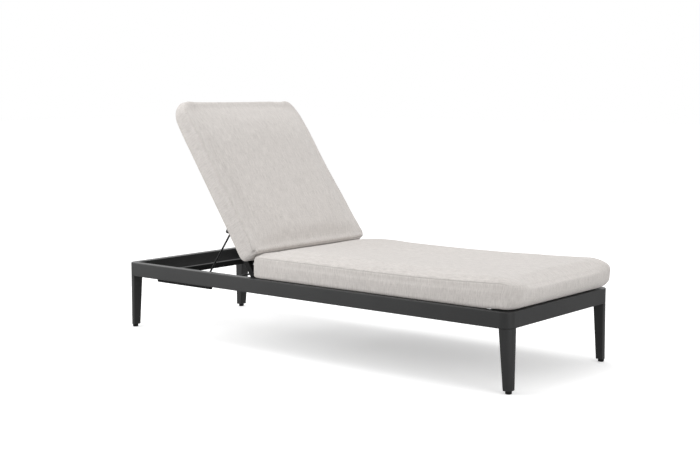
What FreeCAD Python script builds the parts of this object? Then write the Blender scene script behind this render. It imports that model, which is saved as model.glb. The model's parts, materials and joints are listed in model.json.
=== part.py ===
import FreeCAD, Part
import math
import os

# Relaxation lounger: a low aluminium frame on four tapered legs, a slatted seat,
# a back that folds up between the side rails, and two loose cushions.
# X runs from the head to the foot, Y across, Z up. The origin lies on the floor
# under the middle of the frame. Lengths are millimetres and angles are degrees.

Vec = FreeCAD.Vector
lengthwise = Vec(1, 0, 0)
across = Vec(0, 1, 0)
upward = Vec(0, 0, 1)
middle_point = Vec(0, 0, 0)

# frame, driving sizes
frame_length = 2000.0
frame_width = 740.0
frame_height = 294.0
rail_height = 60.0
rail_thickness = 35.0
rail_wall = 2.5
rail_edge_radius = 3.0
corner_radius = 40.0

# cast corners and legs
leg_top_length = 44.0
leg_top_width = 50.0
leg_foot_length = 29.5
leg_foot_width = 36.0
leg_side_taper = 10.0
leg_foot_radius = 20.0
leg_edge_radius = 3.0
spigot_length = 30.0
spigot_clearance = 0.2

# glides
glide_diameter = 24.0
glide_height = 12.0
glide_edge = 2.0
glide_stem_diameter = 8.6
glide_barb_diameter = 10.0
glide_stem_length = 15.0
glide_barbs = 3
glide_hole_clearance = 0.2
glide_hole_spare = 1.0

# back frame, drawn flat and then leaned
rest_angle = 56.0
flat_angle = 0.0
upright_angle = 62.0
pivot_from_head = 742.0
bar_size = 25.0
bar_wall = 2.0
bar_edge_radius = 2.5
bar_rail_gap = 7.0
back_frame_length = 697.0
bottom_bar_start = 76.0
back_slat_count = 5
back_slat_width = 60.0
back_slat_thickness = 12.0
back_slat_wall = 1.5
back_slat_edge = 2.0
first_back_slat = 165.0
last_back_slat_from_top = 85.0
bar_cap_plate = 3.0
bar_cap_plug = 18.0
bar_cap_clearance = 0.15
pivot_end_solid = 30.0

# pivot hardware
pivot_bolt_diameter = 8.0
pivot_bore_clearance = 0.3
pivot_head_diameter = 16.0
pivot_head_height = 4.0
pivot_nut_width = 13.0
pivot_nut_height = 7.0
pivot_thread_spare = 1.5
pivot_spacer_diameter = 22.0
nut_side_count = 6

# prop that holds the back up
prop_rod_diameter = 8.0
prop_pin_along_back = 244.0
prop_pin_behind_back = 22.0
prop_foot_below_top = 54.0
prop_lean_slope = 0.7073
prop_arm_inset = 39.0
prop_eye_diameter = 17.0
weld_gap = 0.1
prop_foot_end_gap = 10.0
ear_thickness = 5.0
ear_rail_gap = 8.0
ear_tip_radius = 8.0
ear_base_before_pin = 30.0
ear_base_after_pin = 22.0
pin_diameter = 8.0
pin_bore_clearance = 0.3
pin_head_diameter = 14.0
pin_head_height = 3.5
pin_nut_width = 12.0
pin_nut_height = 4.0
prop_spacer_diameter = 13.0
prop_turn_ratio = 1.91
head_round_share = 0.4
end_chamfer_share = 0.125

# notched racks and the tube that carries the back when it lies flat
rack_behind_pivot = 583.0
rack_length = 329.0
rack_bottom_below_top = 78.0
rack_top_below_top = 27.0
rack_wall = 3.0
rack_bend_radius = 2.8
rack_comb_gap = 8.0
rack_tip_below_top = 60.8
notch_count = 6
notch_pitch = 47.0
notch_depth = 6.0
notch_radius = 4.5
notch_ramp = 14.0
rivet_diameter = 4.0
rivet_head_diameter = 8.0
rivet_head_height = 1.8
rivet_grip_spare = 1.5
rivet_count = 4
rivet_end_margin = 40.0
rivet_below_top = 42.0
hole_clearance = 0.2
rest_tube_size = 25.0
rest_tube_wall = 2.0
rest_pad_length = 30.0
rest_pad_thickness = 2.2
seat_gap = 0.3

# seat support
slat_count = 9
slat_width = 60.0
slat_thickness = 12.0
slat_wall = 1.5
slat_edge = 2.0
slat_end_gap = 0.3
first_slat_from_pivot = 88.0
last_slat_from_foot = 70.0
ledge_width = 20.0
ledge_drop = 20.0
ledge_wall = 3.0
ledge_end_margin = 35.0
screw_diameter = 4.0
screw_head_diameter = 8.0
screw_head_height = 2.4
screw_bite = 1.0
mid_tube_size = 30.0
mid_tube_wall = 2.0
mid_tube_from_pivot = 51.0

# cushions
seat_cushion_side_margin = 18.0
back_cushion_side_margin = 14.0
cushion_lift = 0.4
cushion_foot_corner = 42.0
cushion_head_corner = 14.0
cushion_draw_in = 2.0
cushion_edge_round = 11.0
seat_cushion_from_pivot = 11.0
seat_cushion_overhang = 22.0
seat_seam_height = 92.0
seat_crown_rise = 13.0
seat_head_roll = 3.0
seat_foot_roll = 11.0
crown_reach = 80.0
back_seam_height = 79.0
back_crown_rise = 14.0
back_cushion_overhang = 133.2
back_cushion_start = 74.2
back_top_roll = 22.0
back_foot_roll = 5.0
back_top_corner = 66.0
back_foot_corner = 18.0

# share of seam height, share of edge round, share of the end roll
boxing_shares = (
    (0.0, 1.0, 0.55),
    (0.035, 0.5, 0.5),
    (0.1, 0.18, 0.4),
    (0.22, 0.05, 0.14),
    (0.5, 0.0, 0.0),
    (0.76, 0.05, 0.14),
    (0.9, 0.18, 0.45),
    (0.97, 0.38, 0.8),
    (1.0, 0.6, 1.0),
)
# share of crown rise, share of crown reach, share of the end roll
crown_shares = (
    (0.34, 0.08, 1.3),
    (0.6, 0.24, 1.5),
    (0.84, 0.54, 1.6),
    (1.0, 1.0, 1.6),
)

overrun = 2.0
pick_tolerance = 0.2

# worked out from the sizes above
half_length = frame_length / 2
half_width = frame_width / 2
rail_bottom = frame_height - rail_height
inner_side = half_width - rail_thickness
inner_end = half_length - rail_thickness
pivot_x = -half_length + pivot_from_head
pivot_z = frame_height - bar_size / 2
pivot_point = Vec(pivot_x, 0, pivot_z)
bar_outer = inner_side - bar_rail_gap
bar_inner = bar_outer - bar_size
bar_head_x = pivot_x - back_frame_length
back_top_z = pivot_z + bar_size / 2
back_under_z = pivot_z - bar_size / 2
pin_flat_x = pivot_x - prop_pin_along_back
pin_flat_z = pivot_z - prop_pin_behind_back
rack_head = pivot_x - rack_behind_pivot
rack_end = rack_head + rack_length
rack_bottom = frame_height - rack_bottom_below_top
rack_top = frame_height - rack_top_below_top
rack_tip_height = frame_height - rack_tip_below_top
rivet_height = frame_height - rivet_below_top
prop_foot_height = frame_height - prop_foot_below_top
first_slat = pivot_x + first_slat_from_pivot
last_slat = half_length - last_slat_from_foot
comb_outer = inner_side - rack_wall - rack_comb_gap
comb_inner = comb_outer - rack_wall
ear_outer = inner_side - ear_rail_gap
prop_arm_middle = half_width - rail_thickness - prop_arm_inset + prop_rod_diameter / 2
slat_under_z = frame_height - slat_thickness


def block(x0, x1, y0, y1, z0, z1):
    return Part.makeBox(x1 - x0, y1 - y0, z1 - z0, Vec(x0, y0, z0))


def rod(start, end, diameter):
    way = end.sub(start)
    return Part.makeCylinder(diameter / 2, way.Length, start, way)


def cross_rod(x, z, y0, y1, diameter):
    return rod(Vec(x, y0, z), Vec(x, y1, z), diameter)


def rounded_along(shape, way, radius):
    """Round the straight edges of a shape that run along one direction."""
    picked = []
    for edge in shape.Edges:
        run = edge.Vertexes[-1].Point.sub(edge.Vertexes[0].Point)
        if run.Length > pick_tolerance and run.cross(way).Length < pick_tolerance:
            picked.append(edge)
    return shape.makeFillet(radius, picked)


def box_tube(x0, x1, y0, y1, z0, z1, way, wall, radius):
    """A rounded box section, open at both ends along one direction."""
    outer = rounded_along(block(x0, x1, y0, y1, z0, z1), way, radius)
    sx, sy, sz = [0 if abs(part) > 0 else wall for part in (way.x, way.y, way.z)]
    px, py, pz = [overrun if abs(part) > 0 else 0 for part in (way.x, way.y, way.z)]
    inner = block(x0 + sx - px, x1 - sx + px, y0 + sy - py, y1 - sy + py, z0 + sz - pz, z1 - sz + pz)
    return outer.cut(inner)


def hexagon(center, way, width, height):
    """A six-sided nut or head, measured across its flats."""
    reach = width / math.sqrt(3)
    side = upward.cross(way)
    points = []
    for turn in range(nut_side_count + 1):
        angle = math.tau * turn / nut_side_count
        points.append(center + side * (reach * math.cos(angle)) + upward * (reach * math.sin(angle)))
    return Part.Face(Part.makePolygon(points)).extrude(way * height)


def lean(shape):
    """Turn a piece of the back from flat to the angle that it rests at."""
    turned = shape.copy()
    turned.rotate(pivot_point, across, rest_angle)
    return turned


def far_side(shape):
    return shape.mirror(middle_point, across)


def back_to_world(along, behind, angle):
    """X and Z of a point of the back, given along the bars and behind them."""
    turn = math.radians(angle)
    x = pivot_x - along * math.cos(turn) - behind * math.sin(turn)
    z = pivot_z + along * math.sin(turn) - behind * math.cos(turn)
    return x, z


def prop_length():
    z = back_to_world(prop_pin_along_back, prop_pin_behind_back, rest_angle)[1]
    return (z - prop_foot_height) * math.hypot(1, prop_lean_slope)


def prop_foot(angle):
    """X and Z of the middle of the prop's foot rod at one angle of the back."""
    x, z = back_to_world(prop_pin_along_back, prop_pin_behind_back, angle)
    steep = math.degrees(math.atan2(1, prop_lean_slope))
    slope = math.radians(steep + (prop_turn_ratio - 1) * (angle - rest_angle))
    return x - prop_length() * math.cos(slope), z - prop_length() * math.sin(slope)


def save(name, shape):
    solids = shape.Solids
    if not solids or not shape.isValid():
        raise ValueError("bad solid in " + name)
    result = solids[0] if len(solids) == 1 else Part.makeCompound(solids)
    result.exportStep("parts/" + name + ".step")


def side_rail():
    """Near rail between the corner castings, with its rivet and bolt holes."""
    reach = half_length - corner_radius
    rail = box_tube(-reach, reach, -half_width, -inner_side, rail_bottom, frame_height,
                    lengthwise, rail_wall, rail_edge_radius)
    y0 = -inner_side - rail_wall - overrun
    y1 = -inner_side + overrun
    holes = [cross_rod(pivot_x, pivot_z, y0, y1, pivot_bolt_diameter + pivot_bore_clearance)]
    for x in rivet_places():
        holes.append(cross_rod(x, rivet_height, y0, y1, rivet_diameter + hole_clearance))
    return rail.cut(holes)


def end_rail():
    """Foot rail between the corner castings."""
    reach = half_width - corner_radius
    return box_tube(inner_end, half_length, -reach, reach, rail_bottom, frame_height,
                    across, rail_wall, rail_edge_radius)


def corner_arc(cx, cy, z, radius, ax, ay, bx, by):
    """Start, middle and end of a quarter round at a corner, between its two edges."""
    pull = radius * (1 - math.sqrt(0.5))
    start = Vec(cx + ax * radius, cy + ay * radius, z)
    middle = Vec(cx + (ax + bx) * pull, cy + (ay + by) * pull, z)
    end = Vec(cx + bx * radius, cy + by * radius, z)
    return start, middle, end


def rounded_plan(x0, x1, y0, y1, radii, z, draw_in=0):
    """Closed outline with its corners rounded in turn from x1, y1, its sides drawn in."""
    corners = ((x1, y1, -1, 0, 0, -1), (x1, y0, 0, 1, -1, 0), (x0, y0, 1, 0, 0, 1), (x0, y1, 0, -1, 1, 0))
    arcs = []
    for (cx, cy, ax, ay, bx, by), radius in zip(corners, radii):
        arcs.append(corner_arc(cx, cy, z, radius, ax, ay, bx, by))
    center = Vec((x0 + x1) / 2, (y0 + y1) / 2, z)
    edges = []
    for turn, (start, middle, end) in enumerate(arcs):
        after = arcs[(turn + 1) % len(arcs)][0]
        edges.append(Part.Arc(start, middle, end).toShape())
        if draw_in > 0:
            halfway = (end + after) * 0.5
            inward = center.sub(halfway).normalize()
            edges.append(Part.Arc(end, halfway + inward * draw_in, after).toShape())
        else:
            edges.append(Part.makeLine(end, after))
    return Part.Wire(edges)


def leg_plan(side_inset, length, width, corner, z):
    """Outline of the far foot leg at one height, its big round at the frame's corner."""
    x1 = half_length
    y1 = half_width - side_inset
    return rounded_plan(x1 - length, x1, y1 - width, y1, (corner,) + (leg_edge_radius,) * 3, z)


def corner_leg():
    """Far foot corner: a bent rail elbow, its leg, and a spigot for each rail."""
    section = rounded_along(
        block(half_length - corner_radius - rail_thickness, half_length - corner_radius,
              inner_side, half_width, rail_bottom, frame_height), lengthwise, rail_edge_radius)
    face = max(section.Faces, key=lambda side: side.CenterOfMass.x)
    center = Vec(half_length - corner_radius, half_width - corner_radius, 0)
    elbow = face.revolve(center, upward, -90)
    top = leg_plan(0, leg_top_length, leg_top_width, corner_radius, rail_bottom)
    foot = leg_plan(leg_side_taper, leg_foot_length, leg_foot_width, leg_foot_radius, glide_height)
    leg = Part.makeLoft([foot, top], True, True)
    inset = rail_wall + spigot_clearance
    spigot_x = block(half_length - corner_radius - spigot_length, half_length - corner_radius,
                     inner_side + inset, half_width - inset, rail_bottom + inset, frame_height - inset)
    spigot_y = block(inner_end + inset, half_length - inset, half_width - corner_radius - spigot_length,
                     half_width - corner_radius, rail_bottom + inset, frame_height - inset)
    gx, gy = glide_place()
    hole = rod(Vec(gx, gy, glide_height - overrun),
               Vec(gx, gy, glide_height + glide_stem_length + glide_hole_spare),
               glide_barb_diameter + glide_hole_clearance)
    return elbow.fuse([leg, spigot_x, spigot_y]).removeSplitter().cut(hole)


def glide_place():
    return (half_length - leg_foot_length / 2,
            half_width - leg_side_taper - leg_foot_width / 2)


def glide():
    """Push-in glide under the far foot leg: a round pad and a barbed stem."""
    gx, gy = glide_place()
    radius = glide_diameter / 2
    stem = glide_stem_diameter / 2
    barb = glide_barb_diameter / 2
    points = [middle_point, Vec(radius - glide_edge, 0, 0), Vec(radius, 0, glide_edge),
              Vec(radius, 0, glide_height), Vec(stem, 0, glide_height)]
    pitch = glide_stem_length / (glide_barbs + 1)
    for turn in range(glide_barbs):
        base = glide_height + pitch * (turn + 1)
        points += [Vec(stem, 0, base), Vec(barb, 0, base), Vec(stem, 0, base + pitch / 2)]
    top = glide_height + glide_stem_length
    points += [Vec(stem, 0, top), Vec(0, 0, top)]
    pad = Part.Face(Part.makePolygon(points + points[:1])).revolve(middle_point, upward, 360)
    pad.translate(Vec(gx, gy, 0))
    return pad


def rivet_places():
    run = rack_length - 2 * rivet_end_margin
    return [rack_head + rivet_end_margin + run * turn / (rivet_count - 1) for turn in range(rivet_count)]


def notch_places():
    """Notches an even pitch apart, one of them where the prop rests."""
    rest_x = prop_foot(rest_angle)[0]
    return [rest_x + notch_pitch * (1 - turn) for turn in range(notch_count)]


def notch_cutter(x):
    """One notch: round at the bottom, upright to the head side, ramped to the foot side."""
    low = rack_tip_height - notch_depth + notch_radius
    high = rack_tip_height + overrun
    y = -comb_outer - overrun
    reach = rack_wall + 2 * overrun
    points = [Vec(x - notch_radius, y, low), Vec(x + notch_radius, y, low),
              Vec(x + notch_radius + notch_ramp, y, rack_tip_height),
              Vec(x + notch_radius + notch_ramp, y, high), Vec(x - notch_radius, y, high)]
    ramp = Part.Face(Part.makePolygon(points + points[:1])).extrude(across * reach)
    seat = cross_rod(x, low, y, y + reach, 2 * notch_radius)
    return ramp.fuse(seat)


def rack_angle():
    """Near rack angle: a pressed strip riveted to the rail, its shelf under the comb."""
    flange = block(rack_head, rack_end, -inner_side, -inner_side + rack_wall, rack_bottom, rack_top)
    shelf = block(rack_head, rack_end, -inner_side, -comb_inner, rack_bottom, rack_bottom + rack_wall)
    angle = flange.fuse(shelf).removeSplitter()
    bend = [edge for edge in angle.Edges
            if edge.BoundBox.XLength > rack_length / 2
            and edge.BoundBox.YMax < -inner_side + pick_tolerance
            and edge.BoundBox.ZMax < rack_bottom + pick_tolerance]
    angle = angle.makeFillet(rack_bend_radius, bend)
    y1 = -inner_side + rack_wall + overrun
    holes = []
    for x in rivet_places():
        holes.append(cross_rod(x, rivet_height, -inner_side - overrun, y1, rivet_diameter + hole_clearance))
    return angle.cut(holes)


def rack_comb():
    """Near comb: an upright strip on the angle's shelf, with the notches in its top."""
    comb = block(rack_head, rack_end, -comb_outer, -comb_inner, rack_bottom + rack_wall, rack_tip_height)
    comb = rounded_along(comb, across, rail_edge_radius)
    return comb.cut([notch_cutter(x) for x in notch_places()])


def rack_rivets():
    """Blind rivets, with a dome inside the frame and a set tail inside the rail."""
    rivets = []
    for x in rivet_places():
        skin = -inner_side + rack_wall
        tail = -inner_side - rail_wall
        shank = cross_rod(x, rivet_height, tail - rivet_grip_spare, skin, rivet_diameter)
        ball = (rivet_head_diameter ** 2 / 4 + rivet_head_height ** 2) / (2 * rivet_head_height)
        dome = Part.makeSphere(ball, Vec(x, skin + rivet_head_height - ball, rivet_height))
        dome = dome.common(block(x - ball, x + ball, skin, skin + ball,
                                 rivet_height - ball, rivet_height + ball))
        bulb = cross_rod(x, rivet_height, tail - rivet_grip_spare, tail, rivet_diameter + rivet_grip_spare)
        near = shank.fuse([dome, bulb])
        rivets.extend([near, far_side(near)])
    return Part.makeCompound(rivets)


def rest_tube():
    """Cross tube between the racks, on which the back lies when it is flat."""
    top = back_under_z - seat_gap - rest_pad_thickness
    reach = inner_side - rack_wall
    return box_tube(rack_head, rack_head + rest_tube_size, -reach, reach, top - rest_tube_size, top,
                    across, rest_tube_wall, rail_edge_radius)


def rest_pad():
    """Near rubber pad on the cross tube, under a bar of the back."""
    top = back_under_z - seat_gap
    y0 = -(bar_outer + bar_inner + rest_pad_length) / 2
    inset = rail_edge_radius
    pad = block(rack_head + inset, rack_head + rest_tube_size - inset,
                y0, y0 + rest_pad_length, top - rest_pad_thickness, top)
    return rounded_along(pad, upward, rail_edge_radius)


def slat_places(first, last, count):
    return [first + (last - first) * turn / (count - 1) for turn in range(count)]


def seat_slat(x):
    """One hollow slat, with a screw hole near each end of its lower wall."""
    reach = inner_side - slat_end_gap
    slat = box_tube(x - slat_width / 2, x + slat_width / 2, -reach, reach, slat_under_z, frame_height,
                    across, slat_wall, slat_edge)
    holes = []
    for y in (-screw_line(), screw_line()):
        holes.append(rod(Vec(x, y, slat_under_z - overrun), Vec(x, y, slat_under_z + slat_wall + overrun),
                         screw_diameter + hole_clearance))
    return slat.cut(holes)


def screw_line():
    return inner_side - ledge_width / 2


def slat_ledge():
    """Near ledge: an angle along the inside of the rail that carries the slats."""
    x0 = first_slat - ledge_end_margin
    x1 = min(last_slat + ledge_end_margin, half_length - corner_radius)
    shelf = block(x0, x1, -inner_side, -inner_side + ledge_width, slat_under_z - ledge_wall, slat_under_z)
    skirt = block(x0, x1, -inner_side, -inner_side + ledge_wall, slat_under_z - ledge_drop, slat_under_z)
    ledge = shelf.fuse(skirt).removeSplitter()
    holes = []
    for x in slat_places(first_slat, last_slat, slat_count):
        holes.append(rod(Vec(x, -screw_line(), slat_under_z - ledge_wall - overrun),
                         Vec(x, -screw_line(), slat_under_z + overrun), screw_diameter + hole_clearance))
    return ledge.cut(holes)


def slat_screws():
    """Pan-head screws, driven up through the ledges into the slats."""
    screws = []
    for x in slat_places(first_slat, last_slat, slat_count):
        for y in (-screw_line(), screw_line()):
            low = slat_under_z - ledge_wall
            head = rod(Vec(x, y, low - screw_head_height), Vec(x, y, low), screw_head_diameter)
            shank = rod(Vec(x, y, low), Vec(x, y, slat_under_z + slat_wall + screw_bite), screw_diameter)
            screws.append(head.fuse(shank))
    return Part.makeCompound(screws)


def mid_tube():
    """Cross tube that ties the side rails together just behind the seat."""
    x1 = pivot_x + mid_tube_from_pivot
    return box_tube(x1 - mid_tube_size, x1, -inner_side, inner_side,
                    rail_bottom + rail_wall, rail_bottom + rail_wall + mid_tube_size,
                    across, mid_tube_wall, rail_edge_radius)


def pivot_bore(clearance):
    return cross_rod(pivot_x, pivot_z, -half_width, 0, pivot_bolt_diameter + clearance)


def side_bar():
    """Near bar of the back: a square tube, closed and rounded at the pivot."""
    bar = rounded_along(block(bar_head_x, pivot_x, -bar_outer, -bar_inner, back_under_z, back_top_z),
                        lengthwise, bar_edge_radius)
    knuckle = cross_rod(pivot_x, pivot_z, -bar_outer, -bar_inner, bar_size)
    core = block(bar_head_x - overrun, pivot_x - pivot_end_solid, bar_wall - bar_outer,
                 -bar_inner - bar_wall, back_under_z + bar_wall, back_top_z - bar_wall)
    return bar.fuse(knuckle).cut([core, pivot_bore(pivot_bore_clearance)])


def bar_cap():
    """Near end cap, pushed into the head end of the bar."""
    plate = rounded_along(block(bar_head_x - bar_cap_plate, bar_head_x, -bar_outer, -bar_inner,
                                back_under_z, back_top_z), lengthwise, bar_edge_radius)
    inset = bar_wall + bar_cap_clearance
    plug = block(bar_head_x, bar_head_x + bar_cap_plug, -bar_outer + inset, -bar_inner - inset,
                 back_under_z + inset, back_top_z - inset)
    return plate.fuse(plug)


def back_cross_bar(head_x):
    """Square tube welded between the bars, its head side at head_x when flat."""
    return box_tube(head_x, head_x + bar_size, -bar_inner, bar_inner, back_under_z, back_top_z,
                    across, bar_wall, bar_edge_radius)


def back_slat(x):
    return box_tube(x - back_slat_width / 2, x + back_slat_width / 2, -bar_inner, bar_inner,
                    back_top_z - back_slat_thickness, back_top_z, across, back_slat_wall, back_slat_edge)


def pivot_bolt():
    """Near shoulder bolt, from inside the bar out through the wall of the rail."""
    tip = -inner_side - rail_wall - pivot_nut_height - pivot_thread_spare
    shank = cross_rod(pivot_x, pivot_z, tip, -bar_inner, pivot_bolt_diameter)
    head = cross_rod(pivot_x, pivot_z, -bar_inner, -bar_inner + pivot_head_height, pivot_head_diameter)
    rim = [edge for edge in head.Edges
           if edge.Length > pivot_head_diameter and edge.CenterOfMass.y > -bar_inner + pick_tolerance]
    return shank.fuse(head.makeFillet(pivot_head_height * head_round_share, rim))


def pivot_nut():
    near_face = Vec(pivot_x, -inner_side - rail_wall, pivot_z)
    nut = hexagon(near_face, Vec(0, -1, 0), pivot_nut_width, pivot_nut_height)
    return nut.cut(pivot_bore(hole_clearance))


def pivot_spacer():
    """Near nylon washer between the bar and the rail."""
    ring = cross_rod(pivot_x, pivot_z, -inner_side, -bar_outer - seat_gap, pivot_spacer_diameter)
    return ring.cut(pivot_bore(pivot_bore_clearance))


def pin_rod(y0, y1, diameter):
    return cross_rod(pin_flat_x, pin_flat_z, y0, y1, diameter)


def prop_ear():
    """Near ear: a plate under the bar of the back that carries the prop's pin."""
    y0 = -ear_outer
    points = [Vec(pin_flat_x + ear_base_before_pin, y0, back_under_z),
              Vec(pin_flat_x - ear_base_after_pin, y0, back_under_z),
              Vec(pin_flat_x - ear_tip_radius, y0, pin_flat_z),
              Vec(pin_flat_x + ear_tip_radius, y0, pin_flat_z)]
    plate = Part.Face(Part.makePolygon(points + points[:1])).extrude(across * ear_thickness)
    tip = pin_rod(y0, y0 + ear_thickness, 2 * ear_tip_radius)
    bore = pin_rod(y0 - overrun, y0 + ear_thickness + overrun, pin_diameter + pin_bore_clearance)
    return plate.fuse(tip).removeSplitter().cut(bore)


def arm_inner():
    return prop_arm_middle - prop_rod_diameter / 2


def arm_outer():
    return prop_arm_middle + prop_rod_diameter / 2


def prop_pin():
    """Near pin, from its head outside the ear to its thread inside the arm."""
    y0 = -ear_outer
    inner = -arm_inner() + seat_gap + pin_nut_height
    head = pin_rod(y0 - pin_head_height, y0, pin_head_diameter)
    rim = [edge for edge in head.Edges
           if edge.Length > pin_head_diameter and edge.CenterOfMass.y < y0 - pick_tolerance]
    return pin_rod(y0, inner, pin_diameter).fuse(head.makeFillet(pin_head_height * head_round_share, rim))


def prop_pin_nut():
    near_face = Vec(pin_flat_x, -arm_inner() + seat_gap, pin_flat_z)
    nut = hexagon(near_face, across, pin_nut_width, pin_nut_height)
    return nut.cut(pin_rod(near_face.y - overrun, near_face.y + pin_nut_height + overrun,
                           pin_diameter + hole_clearance))


def prop_spacer():
    """Near sleeve on the pin, between the ear and the arm."""
    y0 = -ear_outer + ear_thickness
    y1 = -arm_outer() - seat_gap
    bore = pin_rod(y0 - overrun, y1 + overrun, pin_diameter + hole_clearance)
    return pin_rod(y0, y1, prop_spacer_diameter).cut(bore)


def prop_arm():
    """Near arm, in its place at rest: an eye on the pin and a rod down to the foot."""
    pin_x, pin_z = back_to_world(prop_pin_along_back, prop_pin_behind_back, rest_angle)
    foot_x, foot_z = prop_foot(rest_angle)
    y = -prop_arm_middle
    eye = cross_rod(pin_x, pin_z, -arm_outer(), -arm_inner(), prop_eye_diameter)
    stem = rod(Vec(pin_x, y, pin_z), Vec(foot_x, y, foot_z), prop_rod_diameter)
    bore = cross_rod(pin_x, pin_z, -arm_outer() - overrun, -arm_inner() + overrun,
                     pin_diameter + pin_bore_clearance)
    cope = cross_rod(foot_x, foot_z, -half_width, 0, prop_rod_diameter + weld_gap)
    return eye.fuse(stem).cut([bore, cope])


def prop_foot_rod():
    """The rod across the bottom of the prop, whose ends ride along the racks."""
    foot_x, foot_z = prop_foot(rest_angle)
    reach = inner_side - prop_foot_end_gap
    foot = cross_rod(foot_x, foot_z, -reach, reach, prop_rod_diameter)
    ends = [edge for edge in foot.Edges if abs(edge.CenterOfMass.y) > reach - pick_tolerance]
    return foot.makeChamfer(prop_rod_diameter * end_chamfer_share, ends)


def padded_form(x0, x1, half, seam, crown, roll_start, roll_end, radius_start, radius_end):
    """A crowned cushion lying flat: boxing up to the seam, then the crown."""
    base = frame_height + cushion_lift
    levels = []
    for height, edge, roll in boxing_shares:
        levels.append((base + height * seam, edge * cushion_edge_round, roll))
    seam_inset = levels[-1][1]
    for height, reach, roll in crown_shares:
        levels.append((base + seam + height * crown, seam_inset + reach * crown_reach, roll))
    outlines = []
    for z, inset, roll in levels:
        radii = (radius_end, radius_end, radius_start, radius_start)
        outlines.append(rounded_plan(x0 + inset + roll * roll_start, x1 - inset - roll * roll_end,
                                     inset - half, half - inset, radii, z, cushion_draw_in))
    return Part.makeLoft(outlines, True, True)


def seat_cushion():
    """Seat cushion, with a soft roll over its foot end."""
    return padded_form(pivot_x + seat_cushion_from_pivot, half_length + seat_cushion_overhang,
                       half_width - seat_cushion_side_margin, seat_seam_height, seat_crown_rise,
                       seat_head_roll, seat_foot_roll, cushion_head_corner, cushion_foot_corner)


def back_cushion():
    """Back cushion, drawn flat at the place along the back where it rests."""
    foot_x = pivot_x - back_cushion_start
    return padded_form(bar_head_x - back_cushion_overhang, foot_x, half_width - back_cushion_side_margin,
                       back_seam_height, back_crown_rise, back_top_roll, back_foot_roll,
                       back_top_corner, back_foot_corner)


def both_sides(name, shape):
    save(name + "_near", shape)
    save(name + "_far", far_side(shape))


def build_frame():
    both_sides("side_rail", side_rail())
    foot_rail = end_rail()
    save("foot_rail", foot_rail)
    save("head_rail", foot_rail.mirror(middle_point, lengthwise))
    for name, shape in (("corner_leg", corner_leg()), ("glide", glide())):
        for end_name, end_shape in (("foot", shape), ("head", shape.mirror(middle_point, lengthwise))):
            save(name + "_" + end_name + "_far", end_shape)
            save(name + "_" + end_name + "_near", far_side(end_shape))
    both_sides("rack_angle", rack_angle())
    both_sides("rack_comb", rack_comb())
    save("rack_rivets", rack_rivets())
    save("rest_tube", rest_tube())
    both_sides("rest_pad", rest_pad())
    both_sides("slat_ledge", slat_ledge())
    for turn, x in enumerate(slat_places(first_slat, last_slat, slat_count)):
        save("seat_slat_" + str(turn + 1), seat_slat(x))
    save("slat_screws", slat_screws())
    save("mid_tube", mid_tube())
    both_sides("pivot_spacer", pivot_spacer())
    for name, near in (("pivot_bolts", pivot_bolt()), ("pivot_nuts", pivot_nut())):
        save(name, Part.makeCompound([near, far_side(near)]))


def build_back():
    both_sides("back_side_bar", lean(side_bar()))
    both_sides("bar_cap", lean(bar_cap()))
    save("back_top_bar", lean(back_cross_bar(bar_head_x)))
    save("back_bottom_bar", lean(back_cross_bar(pivot_x - bottom_bar_start - bar_size)))
    last_back_slat = back_frame_length - last_back_slat_from_top
    for turn, along in enumerate(slat_places(first_back_slat, last_back_slat, back_slat_count)):
        save("back_slat_" + str(turn + 1), lean(back_slat(pivot_x - along)))
    both_sides("prop_ear", lean(prop_ear()))
    both_sides("prop_spacer", lean(prop_spacer()))
    for name, near in (("prop_pins", lean(prop_pin())), ("prop_pin_nuts", lean(prop_pin_nut()))):
        save(name, Part.makeCompound([near, far_side(near)]))


def build_prop():
    both_sides("prop_arm", prop_arm())
    save("prop_foot_rod", prop_foot_rod())


def build_cushions():
    save("seat_cushion", seat_cushion())
    save("back_cushion", lean(back_cushion()))


os.makedirs("parts", exist_ok=True)
build_frame()
build_back()
build_prop()
build_cushions()
for angle in (flat_angle, rest_angle, upright_angle):
    print("back at", angle, "prop foot at", [round(place, 2) for place in prop_foot(angle)])
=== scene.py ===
# Relaxation lounger for a spa terrace: fabric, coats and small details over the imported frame.
import json
import math
import bmesh
import bpy
import numpy as np
from mathutils import Matrix, Vector, noise
from mathutils.bvhtree import BVHTree


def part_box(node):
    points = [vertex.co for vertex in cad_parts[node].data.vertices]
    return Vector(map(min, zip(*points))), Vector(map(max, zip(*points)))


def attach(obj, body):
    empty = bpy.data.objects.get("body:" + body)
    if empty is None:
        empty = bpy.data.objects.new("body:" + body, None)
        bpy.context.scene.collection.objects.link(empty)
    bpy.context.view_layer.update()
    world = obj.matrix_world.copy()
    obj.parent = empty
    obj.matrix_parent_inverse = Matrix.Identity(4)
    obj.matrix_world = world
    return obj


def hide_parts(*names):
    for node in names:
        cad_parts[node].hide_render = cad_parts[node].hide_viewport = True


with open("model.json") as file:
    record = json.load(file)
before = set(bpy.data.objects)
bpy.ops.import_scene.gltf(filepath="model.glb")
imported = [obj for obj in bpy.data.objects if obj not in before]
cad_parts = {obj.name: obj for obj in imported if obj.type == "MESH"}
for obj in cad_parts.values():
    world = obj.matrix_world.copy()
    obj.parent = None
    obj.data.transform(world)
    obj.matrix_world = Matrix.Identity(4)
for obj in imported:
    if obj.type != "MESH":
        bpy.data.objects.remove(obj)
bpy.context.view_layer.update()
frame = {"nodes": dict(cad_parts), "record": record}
nodes = frame["nodes"]
print("frame loaded,", len(nodes), "nodes")

# camera, at the place the photo was taken from
camera = {
    "place": (3.26066, -4.02210, 1.07346),
    "yaw": 129.161,         # degrees from +X, seen from above
    "pitch": -6.705,
    "roll": 0.081,
    "lens": 63.98,
    "sensor": 36.0,
    "reach": 200.0,
}


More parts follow.
